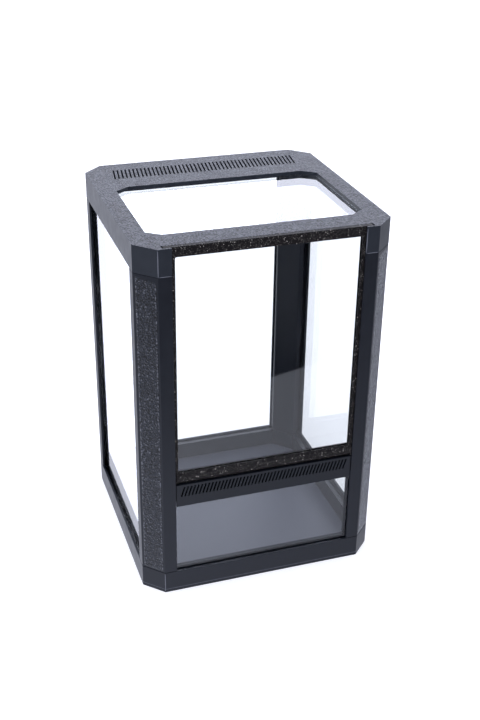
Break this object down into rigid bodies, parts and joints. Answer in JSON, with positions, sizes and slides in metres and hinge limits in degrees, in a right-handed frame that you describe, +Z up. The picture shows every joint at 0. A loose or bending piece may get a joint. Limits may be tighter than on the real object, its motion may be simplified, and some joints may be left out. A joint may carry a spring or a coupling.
{
  "type": "glazed small-animal cage",
  "caption": "Tall glazed small-animal cage with cut corners, clear walls, slotted top and a front door that slides up and lifts out.",
  "frame": {"origin": "bottom centre of the base, on the surface the cage stands on", "axes": "+Z up, -Y out of the front door, +X to the viewer's right facing the door"},
  "size_m": [0.2, 0.196, 0.302],
  "materials": {
    "printed_slate": "matte",
    "glitter_black": "sparkling",
    "clear_pane": "clear",
    "screw_steel": "satin"
  },
  "bodies": {
    "case": {"base": "printed_slate", "post_front_left": "printed_slate", "post_front_right": "printed_slate", "post_rear_left": "printed_slate", "post_rear_right": "printed_slate", "base_screw_front_left": "screw_steel", "base_screw_front_right": "screw_steel", "base_screw_rear_left": "screw_steel", "base_screw_rear_right": "screw_steel", "top_frame": "printed_slate", "top_pane": "clear_pane", "left_pane": "clear_pane", "right_pane": "clear_pane", "back_pane": "clear_pane", "lower_front_pane": "clear_pane", "vent_bar": "printed_slate"},
    "door": {"door_frame": "glitter_black", "door_pane": "clear_pane", "door_rail": "glitter_black", "door_screw_left": "screw_steel", "door_screw_right": "screw_steel"}
  },
  "joints": [
    {"name": "door_slide", "type": "slide", "parent": "case", "child": "door", "axis": [0, 0, 1], "range_m": [0, 0.205]}
  ]
}
